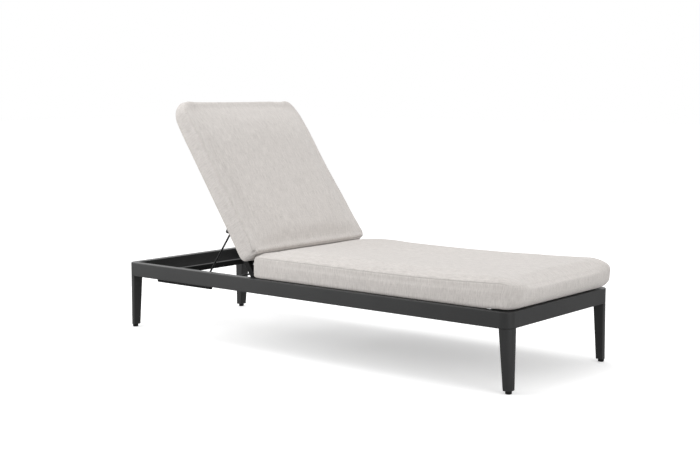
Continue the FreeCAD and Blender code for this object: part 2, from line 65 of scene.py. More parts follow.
def makeCamera():
    data = bpy.data.cameras.new("camera")
    data.lens = camera["lens"]
    data.sensor_width = camera["sensor"]
    data.clip_end = camera["reach"]
    eye = bpy.data.objects.new("camera", data)
    bpy.context.scene.collection.objects.link(eye)
    turn = Matrix.Rotation(math.radians(camera["yaw"] - 90), 4, "Z")
    tilt = Matrix.Rotation(math.radians(90 + camera["pitch"]), 4, "X")
    roll = Matrix.Rotation(math.radians(camera["roll"]), 4, "Z")
    eye.matrix_world = Matrix.Translation(camera["place"]) @ turn @ tilt @ roll
    bpy.context.scene.camera = eye


makeCamera()
bpy.context.scene.view_settings.view_transform = "Standard"
print("camera placed")


# short ways to write node trees
def setInputs(made, values):
    for name, value in values.items():
        made.inputs[name].default_value = value


def addNode(tree, kind, inputs=None, **settings):
    made = tree.nodes.new(kind)
    for name, value in settings.items():
        setattr(made, name, value)
    setInputs(made, inputs or {})
    return made


def join(tree, fromSocket, toSocket):
    tree.links.new(fromSocket, toSocket)


def mathNode(tree, operation, first, second=None, third=None, clamp=False):
    made = addNode(tree, "ShaderNodeMath", operation=operation, use_clamp=clamp)
    for place, value in enumerate((first, second, third)):
        if value is None:
            continue
        if isinstance(value, (int, float)):
            made.inputs[place].default_value = value
        else:
            join(tree, value, made.inputs[place])
    return made.outputs[0]


def times(tree, first, second):
    return mathNode(tree, "MULTIPLY", first, second)


def remap(tree, value, low, high, toLow=0.0, toHigh=1.0, smooth=False):
    made = addNode(tree, "ShaderNodeMapRange", {"From Min": low, "From Max": high,
                                                "To Min": toLow, "To Max": toHigh})
    if smooth:
        made.interpolation_type = "SMOOTHSTEP"
    join(tree, value, made.inputs["Value"])
    return made.outputs["Result"]


def mixColours(tree, factor, first, second):
    made = addNode(tree, "ShaderNodeMix", data_type="RGBA")
    join(tree, factor, made.inputs[0])
    for socket, value in ((made.inputs[6], first), (made.inputs[7], second)):
        if isinstance(value, tuple):
            socket.default_value = (*value, 1.0)
        else:
            join(tree, value, socket)
    return made.outputs[2]


def startGroup(name, inputs, outputs, family="ShaderNodeTree"):
    tree = bpy.data.node_groups.new(name, family)
    for label, kind, value in inputs:
        socket = tree.interface.new_socket(label, in_out="INPUT", socket_type="NodeSocket" + kind)
        if value is not None:
            socket.default_value = value
    for label, kind in outputs:
        tree.interface.new_socket(label, in_out="OUTPUT", socket_type="NodeSocket" + kind)
    return tree, tree.nodes.new("NodeGroupInput"), tree.nodes.new("NodeGroupOutput")


def useGroup(tree, group, values):
    return addNode(tree, "ShaderNodeGroup", values, node_tree=group)


def bumpNode(tree, height, strength, distance, under=None):
    made = addNode(tree, "ShaderNodeBump", {"Strength": strength, "Distance": distance})
    join(tree, height, made.inputs["Height"])
    if under is not None:
        join(tree, under, made.inputs["Normal"])
    return made.outputs["Normal"]


def ownPlace(tree, socket):
    # the place on the object itself, in metres
    join(tree, addNode(tree, "ShaderNodeTexCoord").outputs["Object"], socket)


def startMaterial(name):
    material = bpy.data.materials.new(name)
    material.use_nodes = True
    tree = material.node_tree
    tree.nodes.clear()
    shader = addNode(tree, "ShaderNodeBsdfPrincipled")
    output = addNode(tree, "ShaderNodeOutputMaterial")
    join(tree, shader.outputs["BSDF"], output.inputs["Surface"])
    return material, tree, shader


# room: a pale floor, a white surround and soft lamps
studio = {
    "surround": 0.68,       # light from all round, on the object
    "floorTone": 0.52,
    "floorSpread": 0.01,
    "floorGrain": 3.0,
    "floorLift": 0.34,      # brings the open floor to white for the camera
    "floorSize": 60.0,
    "lamps": (              # place, aim, size, watts
        ((-0.6, 0.3, 4.6), (0.1, 0.0, 0.2), 3.4, 79.0),
        ((3.2, -0.6, 0.9), (0.6, 0.0, 0.4), 1.6, 16.0),
        ((-2.6, -3.0, 1.3), (-0.2, 0.0, 0.4), 2.6, 61.0),
    ),
}


def makeRoom():
    world = bpy.data.worlds.new("room")
    bpy.context.scene.world = world
    world.use_nodes = True
    tree = world.node_tree
    tree.nodes.clear()
    path = addNode(tree, "ShaderNodeLightPath")
    seen = mathNode(tree, "MAXIMUM", path.outputs["Is Camera Ray"], path.outputs["Is Glossy Ray"])
    seen = mathNode(tree, "MAXIMUM", seen, path.outputs["Is Transmission Ray"])
    strength = remap(tree, seen, 0.0, 1.0, studio["surround"], 1.0)
    light = addNode(tree, "ShaderNodeBackground", {"Color": (1.0, 1.0, 1.0, 1.0)})
    join(tree, strength, light.inputs["Strength"])
    output = addNode(tree, "ShaderNodeOutputWorld")
    join(tree, light.outputs[0], output.inputs["Surface"])

    material, tree, shader = startMaterial("paleFloor")
    path = addNode(tree, "ShaderNodeLightPath")
    grain = addNode(tree, "ShaderNodeTexNoise", {"Scale": studio["floorGrain"], "Detail": 4.0})
    ownPlace(tree, grain.inputs["Vector"])
    tone = remap(tree, grain.outputs["Fac"], 0.3, 0.7, studio["floorTone"] - studio["floorSpread"],
                 studio["floorTone"] + studio["floorSpread"])
    bare = addNode(tree, "ShaderNodeCombineColor")
    for channel in ("Red", "Green", "Blue"):
        join(tree, tone, bare.inputs[channel])
    join(tree, mixColours(tree, path.outputs["Is Camera Ray"], bare.outputs[0], (1.0, 1.0, 1.0)),
         shader.inputs["Base Color"])
    join(tree, times(tree, path.outputs["Is Camera Ray"], studio["floorLift"]),
         shader.inputs["Emission Strength"])
    setInputs(shader, {"Emission Color": (1.0, 1.0, 1.0, 1.0), "Roughness": 0.95, "Specular IOR Level": 0.0})
    half = studio["floorSize"] / 2
    mesh = bpy.data.meshes.new("floor")
    corners = [(-half, -half, 0), (half, -half, 0), (half, half, 0), (-half, half, 0)]
    mesh.from_pydata(corners, [], [(0, 1, 2, 3)])
    mesh.materials.append(material)
    floor = bpy.data.objects.new("floor", mesh)
    bpy.context.scene.collection.objects.link(floor)

    for number, (place, aim, size, power) in enumerate(studio["lamps"]):
        data = bpy.data.lights.new("softLamp" + str(number + 1), "AREA")
        data.size = size
        data.energy = power
        lamp = bpy.data.objects.new(data.name, data)
        bpy.context.scene.collection.objects.link(lamp)
        lamp.location = place
        lamp.rotation_euler = (Vector(aim) - Vector(place)).to_track_quat("-Z", "Y").to_euler()


makeRoom()
print("room lit")


# powder coat, plastic and metal grain shared by the hard finishes
fleckShare = 0.35           # fine grain in the tone, the rest is broad clouding


def makeGrainGroup():
    tree, start, end = startGroup("fineGrain", (
        ("Vector", "Vector", None),
        ("Grain Scale", "Float", 900.0),
        ("Cloud Scale", "Float", 5.0),
        ("Scuff Scale", "Float", 60.0),
        ("Low Tone", "Color", (0.05, 0.05, 0.05, 1.0)),
        ("High Tone", "Color", (0.07, 0.07, 0.07, 1.0)),
    ), (("Tone", "Color"), ("Grain", "Float"), ("Scuff", "Float")))
    peel = addNode(tree, "ShaderNodeTexNoise", {"Detail": 2.0, "Roughness": 0.6})
    cloud = addNode(tree, "ShaderNodeTexNoise", {"Detail": 3.0})
    scuff = addNode(tree, "ShaderNodeTexNoise", {"Detail": 6.0, "Roughness": 0.7})
    for texture, label in ((peel, "Grain Scale"), (cloud, "Cloud Scale"), (scuff, "Scuff Scale")):
        join(tree, start.outputs["Vector"], texture.inputs["Vector"])
        join(tree, start.outputs[label], texture.inputs["Scale"])
    blotch = remap(tree, cloud.outputs["Fac"], 0.3, 0.7)
    fleck = remap(tree, peel.outputs["Fac"], 0.3, 0.7)
    clouded = times(tree, blotch, 1 - fleckShare)
    share = mathNode(tree, "MULTIPLY_ADD", fleck, fleckShare, clouded)
    tone = mixColours(tree, share, start.outputs["Low Tone"], start.outputs["High Tone"])
    join(tree, tone, end.inputs["Tone"])
    join(tree, peel.outputs["Fac"], end.inputs["Grain"])
    join(tree, remap(tree, scuff.outputs["Fac"], 0.5, 0.78), end.inputs["Scuff"])
    return tree


# woven cloth: threads, slubs and a heather of light and dark yarn, with painted shade between the threads
heatherShares = {           # how much each layer lightens the yarn
    "slub": 0.45,
    "cross": 0.14,
    "broad": 0.1,
    "cloudy": 0.04,
    # painted shade and highlight of the weave: thread crowns lighter, the gaps between them darker
    "weave": 0.2,
    "fleck": -0.4,
}
streakStretch = {           # noise per metre across and along the thread, and a seed
    "broad": (46.0, 7.0, 31.0),
    "fleck": (290.0, 70.0, 23.0),
}
slubLift = 0.6


def makeWeaveGroup():
    tree, start, end = startGroup("heatherWeave", (
        ("Vector", "Vector", None),
        ("Threads", "Float", 850.0),
        ("Slub Length", "Float", 30.0),
        ("Slub Width", "Float", 240.0),
        ("Blotch Scale", "Float", 9.0),
        ("Dark Yarn", "Color", (0.42, 0.4, 0.38, 1.0)),
        ("Light Yarn", "Color", (0.7, 0.68, 0.65, 1.0)),
    ), (("Yarn", "Color"), ("Height", "Float"), ("Slub", "Float")))
    parts = addNode(tree, "ShaderNodeSeparateXYZ")
    join(tree, start.outputs["Vector"], parts.inputs[0])
    across = times(tree, parts.outputs["X"], start.outputs["Threads"])
    along = times(tree, parts.outputs["Y"], start.outputs["Threads"])
    warpWave, weftWave = (mathNode(tree, "SINE", times(tree, way, math.pi)) for way in (across, along))
    warpRound, weftRound = (mathNode(tree, "ABSOLUTE", wave) for wave in (warpWave, weftWave))
    over = mathNode(tree, "GREATER_THAN", times(tree, warpWave, weftWave), 0.0)
    warpTop = times(tree, warpRound, mathNode(tree, "MULTIPLY_ADD", weftRound, 0.5, 0.5))
    weftTop = times(tree, weftRound, mathNode(tree, "MULTIPLY_ADD", warpRound, 0.5, 0.5))
    warpPart = times(tree, warpTop, over)
    weftPart = times(tree, weftTop, mathNode(tree, "SUBTRACT", 1.0, over))
    weave = mathNode(tree, "ADD", warpPart, weftPart)

    def streaks(wide, long, seed):
        stretched = addNode(tree, "ShaderNodeCombineXYZ")
        join(tree, times(tree, parts.outputs["X"], wide), stretched.inputs[0])
        join(tree, times(tree, parts.outputs["Y"], long), stretched.inputs[1])
        stretched.inputs[2].default_value = seed
        texture = addNode(tree, "ShaderNodeTexNoise", {"Scale": 1.0, "Detail": 3.0, "Roughness": 0.62})
        join(tree, stretched.outputs[0], texture.inputs["Vector"])
        return texture.outputs["Fac"]

    slub = remap(tree, streaks(start.outputs["Slub Width"], start.outputs["Slub Length"], 3.0), 0.28, 0.72)
    cross = remap(tree, streaks(start.outputs["Slub Length"], start.outputs["Slub Width"], 11.0), 0.28, 0.72)
    blotch = addNode(tree, "ShaderNodeTexNoise", {"Detail": 4.0, "Roughness": 0.55})
    join(tree, start.outputs["Vector"], blotch.inputs["Vector"])
    join(tree, start.outputs["Blotch Scale"], blotch.inputs["Scale"])
    cloudy = remap(tree, blotch.outputs["Fac"], 0.3, 0.7)
    broad = remap(tree, streaks(*streakStretch["broad"]), 0.3, 0.7)
    fleck = remap(tree, streaks(*streakStretch["fleck"]), 0.6, 0.7)
    heather = times(tree, slub, heatherShares["slub"])
    # the weave's relief also goes into the colour, as painted shade between the threads
    for layer, share in ((cross, "cross"), (broad, "broad"), (cloudy, "cloudy"), (weave, "weave")):
        heather = mathNode(tree, "MULTIPLY_ADD", layer, heatherShares[share], heather)
    heather = mathNode(tree, "MULTIPLY_ADD", fleck, heatherShares["fleck"], heather, clamp=True)
    yarn = mixColours(tree, heather, start.outputs["Dark Yarn"], start.outputs["Light Yarn"])
    join(tree, yarn, end.inputs["Yarn"])
    join(tree, mathNode(tree, "MULTIPLY_ADD", slub, slubLift, weave), end.inputs["Height"])
    join(tree, slub, end.inputs["Slub"])
    return tree


# sewn edge: painted shade as a dark line in its groove, and the small gathers beside it
seamLook = {
    "lineEdge": (0.5, 1.6),     # fades out between these shares of the line's width
    "grooveWide": 4.0,          # times the line's width
    "gatherAcross": 14.0,
}


def makeSeamGroup():
    tree, start, end = startGroup("sewnEdge", (
        ("Distance", "Float", 1.0),
        ("Along", "Float", 0.0),
        ("Line Width", "Float", 0.0012),
        ("Gather Width", "Float", 0.02),
        ("Gathers", "Float", 75.0),
    ), (("Line", "Float"), ("Height", "Float")))
    away = mathNode(tree, "ABSOLUTE", start.outputs["Distance"])
    share = mathNode(tree, "DIVIDE", away, start.outputs["Line Width"])
    line = remap(tree, share, *seamLook["lineEdge"], 1.0, 0.0, smooth=True)
    groove = remap(tree, share, 0.0, seamLook["grooveWide"], 1.0, 0.0, smooth=True)
    place = addNode(tree, "ShaderNodeCombineXYZ")
    join(tree, times(tree, start.outputs["Along"], start.outputs["Gathers"]), place.inputs[0])
    join(tree, times(tree, start.outputs["Distance"], seamLook["gatherAcross"]), place.inputs[1])
    gather = addNode(tree, "ShaderNodeTexNoise", {"Scale": 1.0, "Detail": 2.0})
    join(tree, place.outputs[0], gather.inputs["Vector"])
    near = mathNode(tree, "DIVIDE", away, start.outputs["Gather Width"])
    near = remap(tree, near, 0.0, 1.0, 1.0, 0.0, smooth=True)
    puckers = times(tree, gather.outputs["Fac"], near)
    join(tree, line, end.inputs["Line"])
    join(tree, mathNode(tree, "SUBTRACT", puckers, groove), end.inputs["Height"])
    return tree


grainGroup = makeGrainGroup()
weaveGroup = makeWeaveGroup()
seamGroup = makeSeamGroup()


def useGrain(tree, look):
    made = useGroup(tree, grainGroup, {"Grain Scale": look["grain"], "Low Tone": (*look["low"], 1.0),
                                       "High Tone": (*look["high"], 1.0)})
    ownPlace(tree, made.inputs["Vector"])
    return made


def useWeave(tree, look):
    return useGroup(tree, weaveGroup, {"Threads": look["threads"], "Dark Yarn": (*look["dark"], 1.0),
                                       "Light Yarn": (*look["light"], 1.0)})


# hard finishes, by the slot each node has in the record
hardFinishes = {
    "frame_coat": {
        "name": "charcoalCoat", "low": (0.0245, 0.0248, 0.0251), "high": (0.0315, 0.0318, 0.0321),
        "rough": 0.36, "roughSpread": 0.08, "metal": 0.0, "shine": 0.32, "grain": 850.0, "bump": 0.00006,
    },
    # the same charcoal powder coat, painted far darker for the parts inside the frame, as the shade they sit in
    "inner_coat": {
        "name": "charcoalCoatPaintedShade", "low": (0.006, 0.0062, 0.0064), "high": (0.009, 0.0092, 0.0094),
        "rough": 0.42, "roughSpread": 0.08, "metal": 0.0, "shine": 0.11, "grain": 850.0, "bump": 0.00006,
    },
    "prop_coat": {
        "name": "blackCoat", "low": (0.008, 0.008, 0.0082), "high": (0.012, 0.012, 0.0122),
        "rough": 0.38, "roughSpread": 0.1, "metal": 0.0, "shine": 0.2, "grain": 1100.0, "bump": 0.00004,
    },
    "dark_fixings": {
        "name": "blackenedSteel", "low": (0.045, 0.044, 0.043), "high": (0.075, 0.074, 0.072),
        "rough": 0.34, "roughSpread": 0.2, "metal": 0.85, "shine": 0.5, "grain": 1600.0, "bump": 0.00002,
    },
    "glide_plastic": {
        "name": "glidePlastic", "low": (0.006, 0.006, 0.006), "high": (0.010, 0.010, 0.010),
        "rough": 0.58, "roughSpread": 0.12, "metal": 0.0, "shine": 0.25, "grain": 1400.0, "bump": 0.00005,
    },
    "black_nylon": {
        "name": "blackNylon", "low": (0.012, 0.012, 0.012), "high": (0.019, 0.019, 0.019),
        "rough": 0.5, "roughSpread": 0.1, "metal": 0.0, "shine": 0.4, "grain": 1800.0, "bump": 0.00003,
    },
    "pad_rubber": {
        "name": "padRubber", "low": (0.014, 0.014, 0.014), "high": (0.024, 0.024, 0.024),
        "rough": 0.78, "roughSpread": 0.1, "metal": 0.0, "shine": 0.3, "grain": 2200.0, "bump": 0.00006,
    },
}


def hardMaterial(look):
    material, tree, shader = startMaterial(look["name"])
    grain = useGrain(tree, look)
    join(tree, grain.outputs["Tone"], shader.inputs["Base Color"])
    rough = remap(tree, grain.outputs["Scuff"], 0.0, 1.0, look["rough"], look["rough"] + look["roughSpread"])
    join(tree, rough, shader.inputs["Roughness"])
    join(tree, bumpNode(tree, grain.outputs["Grain"], 0.6, look["bump"]), shader.inputs["Normal"])
    setInputs(shader, {"Metallic": look["metal"], "Specular IOR Level": look["shine"]})
    return material


hardMaterials = {slot: hardMaterial(look) for slot, look in hardFinishes.items()}


def coatNodes():
    for part in frame["record"]["subparts"]:
        slot = part["material_slot"]
        if slot not in hardMaterials:
            continue
        piece = nodes[part["node"]]
        for place in range(len(piece.material_slots)):
            piece.material_slots[place].material = hardMaterials[slot]


coatNodes()
print("hard finishes on")

cloth = {
    "dark": (0.50, 0.470, 0.446),
    "light": (0.85, 0.808, 0.774),
    "seamShadeTone": (0.50, 0.47, 0.445),
    "rough": 0.92,
    "roughSpread": 0.06,
    "sheen": 0.25,
    "threads": 850.0,
    "weaveBump": 0.0005,
    "seamBump": 0.0011,
}


def clothMaterial():
    material, tree, shader = startMaterial("heatheredCloth")
    panel = addNode(tree, "ShaderNodeUVMap", uv_map="panels")
    weave = useWeave(tree, cloth)
    join(tree, panel.outputs["UV"], weave.inputs["Vector"])
    guide = addNode(tree, "ShaderNodeAttribute", attribute_name="seamGuide")
    parts = addNode(tree, "ShaderNodeSeparateXYZ")
    join(tree, guide.outputs["Vector"], parts.inputs[0])
    seam = useGroup(tree, seamGroup, {})
    join(tree, parts.outputs["X"], seam.inputs["Distance"])
    join(tree, parts.outputs["Y"], seam.inputs["Along"])
    # painted shade: the seam's groove is tinted darker where the seam shows
    shown = times(tree, seam.outputs["Line"], parts.outputs["Z"])
    join(tree, mixColours(tree, shown, weave.outputs["Yarn"], cloth["seamShadeTone"]), shader.inputs["Base Color"])
    rough = remap(tree, weave.outputs["Slub"], 0.0, 1.0, cloth["rough"] - cloth["roughSpread"], cloth["rough"])
    join(tree, rough, shader.inputs["Roughness"])
    setInputs(shader, {"Sheen Weight": cloth["sheen"], "Sheen Roughness": 0.5, "Specular IOR Level": 0.25})
    seamHeight = times(tree, seam.outputs["Height"], parts.outputs["Z"])
    seamed = bumpNode(tree, seamHeight, 0.8, cloth["seamBump"])
    woven = bumpNode(tree, weave.outputs["Height"], 0.5, cloth["weaveBump"], seamed)
    join(tree, woven, shader.inputs["Normal"])
    return material


heatheredCloth = clothMaterial()
print("cloth woven")


# cushions: the CAD solid's form, blown up as filled cloth, then shaped and sewn
def jointPlace(name):
    joint = next(joint for joint in frame["record"]["behaviour"]["joints"] if joint["name"] == name)
    return Vector(joint["pos_m"])


backAngle = math.radians(56)
pivot = jointPlace("back_recline")


def seatPlace():
    return Matrix.Translation((0.0, 0.0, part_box("seat_cushion")[0].z))


def backPlace(lift=0.0):
    along = Vector((-math.cos(backAngle), 0.0, math.sin(backAngle)))
    across = Vector((0.0, -1.0, 0.0))
    up = along.cross(across)
    turn = Matrix((along, across, up)).transposed().to_4x4()
    return Matrix.Translation(pivot + up * lift) @ turn


# what both covers share
filling = {
    "voxel": 0.008,
    "shrink": 0.007,        # drawn in by this much before it is blown up
    "pressure": 4.0,
    "spare": 0.015,         # extra cloth over the filling
    "cap": 0.024,           # no spot swells further than this
    "settle": 9,            # frames of simulation
    "drawIn": 0.003,
    "firm": 0.95,           # how closely the lower edge keeps the solid's line
    "lowRound": 0.035,      # height of the lower edge that tucks in at the foot
    "heldFade": 0.12,
    "clear": 0.0006,        # kept from the solid's face where it is held in
}

seatPad = {
    **filling,
    "node": "seat_cushion",
    "place": seatPlace(),
    "crown": 0.106,
    "firmTo": 0.088,
    "edgeOut": 0.013,       # how far the lower edge stands out over the rail
    "edgeFade": 0.010,
    "endIn": 0.017,         # how far the foot face tucks in at its lower edge
    "seamHold": 0.028,
    "ends": (-0.247, 1.022),
    "half": 0.352,
    "seamHeight": 0.085,
    "corners": (0.014, 0.042),
    "heldBelow": -0.17,     # nearer the other cushion than this it stays inside the solid
    "proud": 0.014,
    "fill": 0.72,
}

backPad = {
    **filling,
    "node": "back_cushion",
    "place": backPlace(0.0129),
    "crown": 0.097,
    "firmTo": 0.074,
    "edgeOut": 0.006,
    "edgeFade": 0.006,
    "endIn": 0.0,
    "seamHold": 0.026,
    "ends": (0.0742, 0.8302),
    "half": 0.356,
    "seamHeight": 0.079,
    "corners": (0.018, 0.066),
    "heldBelow": 0.085,
    "proud": 0.013,
    "fill": 0.75,
}

# crease and gathers of the sewn edge, and the small folds at the back's lower corners
sewing = {
    "creaseWide": 0.006,
    "creaseDeep": 0.0011,
    "gathers": (45.0, 9.0),     # noise per metre along and across
    "gatherReach": 0.022,
    "gatherHigh": 0.0016,
    "hidden": 0.12,             # share that stays where the seam hardly shows
    "folds": 80.0,
    "foldHigh": 0.014,
    "foldIn": 0.003,
    "shoulder": 0.012,          # rounding above the seam that counts as no distance
    "steep": 1.4,
}
panelGap = 3.0                  # keeps side strips clear of the panels in the flat map


def takeVectors(data, what):
    values = np.empty(len(data) * 3)
    data.foreach_get(what, values)
    return values.reshape(-1, 3)


def takeSpots(mesh):
    return takeVectors(mesh.vertices, "co")


def putSpots(mesh, spots):
    mesh.vertices.foreach_set("co", spots.ravel())
    mesh.update()


def takeNormals(mesh):
    return takeVectors(mesh.vertices, "normal")


def linked(name, mesh):
    made = bpy.data.objects.new(name, mesh)
    bpy.context.scene.collection.objects.link(made)
    return made


def baked(piece, name):
    # the piece's shape with its modifiers, as a plain mesh
    graph = bpy.context.evaluated_depsgraph_get()
    mesh = bpy.data.meshes.new_from_object(piece.evaluated_get(graph), depsgraph=graph)
    mesh.name = name
    return mesh


def evened(mesh, rounds):
    shape = bmesh.new()
    shape.from_mesh(mesh)
    for _ in range(rounds):
        bmesh.ops.smooth_vert(shape, verts=shape.verts, factor=0.5,
                              use_axis_x=True, use_axis_y=True, use_axis_z=True)
    shape.to_mesh(mesh)
    shape.free()
    mesh.update()


def solidCopy(pad):
    mesh = nodes[pad["node"]].data.copy()
    mesh.transform(pad["place"].inverted())
    shape = bmesh.new()
    shape.from_mesh(mesh)
    bmesh.ops.remove_doubles(shape, verts=shape.verts, dist=0.00005)
    bmesh.ops.recalc_face_normals(shape, faces=shape.faces)
    shape.to_mesh(mesh)
    tree = BVHTree.FromBMesh(shape)
    shape.free()
    mesh.materials.clear()
    return mesh, tree


def cleanGrid(pad, mesh):
    source = linked("padForm", mesh)
    grid = source.modifiers.new("grid", "REMESH")
    grid.mode = "VOXEL"
    grid.voxel_size = pad["voxel"]
    grid.adaptivity = 0.0
    made = baked(source, pad["node"] + "Cover")
    bpy.data.objects.remove(source)
    return made


def blownUp(pad, mesh):
    # pressure in a closed cover, run for a few frames and then kept
    start = takeSpots(mesh)
    piece = linked("padFill", mesh)
    swell = piece.modifiers.new("swell", "CLOTH")
    swell.settings.quality = 5
    swell.settings.use_pressure = True
    swell.settings.shrink_min = -pad["spare"]
    swell.settings.uniform_pressure_force = pad["pressure"]
    swell.settings.effector_weights.gravity = 0.0
    swell.point_cache.frame_start = 1
    swell.point_cache.frame_end = pad["settle"]
    scene = bpy.context.scene
    for step in range(1, pad["settle"] + 1):
        scene.frame_set(step)
    result = baked(piece, "swollen")
    moved = takeSpots(result) - start
    reach = np.linalg.norm(moved, axis=1, keepdims=True)
    print("  cover moved up to", round(float(reach.max()) * 1000, 1), "mm")
    moved *= np.minimum(1.0, pad["cap"] / np.maximum(reach, 1e-9))
    piece.modifiers.remove(swell)
    bpy.data.objects.remove(piece)
    bpy.data.meshes.remove(result)
    scene.frame_set(1)
    putSpots(mesh, start + moved)


def heldIn(pad, mesh, tree):
    # no further out than the solid allows, and flat where it rests
    spots = takeSpots(mesh)
    for place, spot in enumerate(spots):
        near, normal, _, _ = tree.find_nearest(Vector(spot))
        out = (Vector(spot) - near).dot(normal)
        room = pad["proud"] * min(1.0, max(0.0, (spot[0] - pad["heldBelow"]) / pad["heldFade"])) - pad["clear"]
        if out > room:
            spots[place] = near + normal * room
    spots[:, 2] = np.maximum(spots[:, 2], pad["lifted"](spots))
    putSpots(mesh, spots)


def rimDistance(pad, spots):
    # how far inside the cushion's plan a point lies, below zero inside
    low, high = pad["ends"]
    middle = (low + high) / 2
    radius = np.where(spots[:, 0] < middle, pad["corners"][0], pad["corners"][1])
    overX = np.abs(spots[:, 0] - middle) - ((high - low) / 2 - radius)
    overY = np.abs(spots[:, 1]) - (pad["half"] - radius)
    outside = np.hypot(np.maximum(overX, 0), np.maximum(overY, 0))
    return outside + np.minimum(np.maximum(overX, overY), 0) - radius


def rimTravel(pad, spots):
    # distance walked round the cushion to the point's place on its rim
    low, high = pad["ends"]
    half = pad["half"]
    x, y, _ = spots.T
    gapSide = half - np.abs(y)
    gapHigh = high - x
    gapLow = x - low
    nearHigh = (gapHigh < gapSide) & (gapHigh <= gapLow)
    nearLow = (gapLow < gapSide) & (gapLow < gapHigh)
    length = high - low
    travel = np.where(y < 0, x - low, 2 * length + 2 * half - (x - low))
    travel = np.where(nearHigh, length + y + half, travel)
    return np.where(nearLow, 2 * length + 4 * half - (y + half), travel)


def sewn(pad, mesh, rest):
    # crease and gathers along the top seam, kept as a guide for the cloth's material
    distance = seamDistance(pad, rest)
    travel = rimTravel(pad, rest)
    shown = pad["seamShown"](rest)
    spots = takeSpots(mesh)
    normals = takeNormals(mesh)
    crease = np.exp(-(distance / sewing["creaseWide"]) ** 2) * sewing["creaseDeep"]
    often, across = sewing["gathers"]
    gather = np.array([noise.noise((along * often, off * across, 2.0)) for along, off in zip(travel, distance)])
    pucker = gather * np.exp(-np.abs(distance) / sewing["gatherReach"]) * sewing["gatherHigh"]
    drawn = pad["puckers"](rest)
    folds = np.array([noise.noise(Vector(spot * sewing["folds"])) if draw > 0.02 else 0.0
                      for spot, draw in zip(rest, drawn)])
    seen = sewing["hidden"] + (1 - sewing["hidden"]) * shown
    fold = drawn * (folds * sewing["foldHigh"] - sewing["foldIn"])
    spots += normals * ((pucker - crease) * seen + fold)[:, None]
    putSpots(mesh, spots)
    guide = mesh.attributes.new("seamGuide", "FLOAT_VECTOR", "POINT")
    guide.data.foreach_set("vector", np.stack((distance, travel, shown), axis=1).ravel())
    return travel


def panelMap(pad, mesh, rest, travel):
    # flat map of each sewn panel in metres, so the weave runs true
    layer = mesh.uv_layers.new(name="panels")
    corners = np.empty(len(mesh.loops), dtype=np.int32)
    mesh.loops.foreach_get("vertex_index", corners)
    owner = np.empty(len(mesh.loops), dtype=np.int32)
    for face in mesh.polygons:
        owner[face.loop_start:face.loop_start + face.loop_total] = face.index
    faceRest = np.zeros((len(mesh.polygons), 3))
    counts = np.bincount(owner, minlength=len(mesh.polygons))[:, None]
    np.add.at(faceRest, owner, rest[corners])
    faceRest /= counts
    up = np.array([face.normal.z for face in mesh.polygons])
    underside = (faceRest[:, 2] < 0.006) & (up < -0.7)
    onSide = ((faceRest[:, 2] < pad["seamHeight"]) & ~underside)[owner]
    flat = np.stack((rest[corners][:, 1], rest[corners][:, 0]), axis=1)
    side = np.stack((travel[corners], rest[corners][:, 2] + panelGap), axis=1)
    places = np.where(onSide[:, None], side, flat)
    layer.data.foreach_set("uv", places.ravel())


def finerMesh(mesh, name):
    piece = linked("padFine", mesh)
    finer = piece.modifiers.new("finer", "SUBSURF")
    finer.levels = 1
    finer.render_levels = 1
    made = baked(piece, name)
    bpy.data.objects.remove(piece)
    return made


def seamDistance(pad, rest):
    # from the top seam, over the crown above zero and down the boxing below
    height = rest[:, 2] - pad["seamHeight"] + pad["seamDrop"](rest)
    inside = np.maximum(0.0, -rimDistance(pad, rest) - sewing["shoulder"])
    distance = np.hypot(height * sewing["steep"], inside)
    return np.where(height > 0, distance, -distance)


def firmEdge(pad, mesh, rest):
    # the lower edge and the sewn edge keep the line the cover is cut to
    lower = pad["firm"] * (1 - rise(rest[:, 2], pad["firmTo"] * 0.5, pad["firmTo"]))
    seam = pad["firm"] * np.exp(-(seamDistance(pad, rest) / pad["seamHold"]) ** 2) * pad["seamKept"](rest)
    firm = np.maximum(lower, seam)[:, None]
    line = rest.copy()
    line[:, 1] *= 1 + pad["edgeOut"] / pad["half"] * np.exp(-np.maximum(rest[:, 2], 0) / pad["edgeFade"])
    tuck = np.clip(1 - rest[:, 2] / pad["lowRound"], 0.0, 1.0) ** 2
    line[:, 0] -= pad["endIn"] * tuck * rise(rest[:, 0], pad["ends"][1] - 0.09, pad["ends"][1])
    line[:, 2] = np.maximum(line[:, 2], 0.0)
    pad["shape"](pad, line, rest)
    putSpots(mesh, takeSpots(mesh) * (1 - firm) + line * firm)


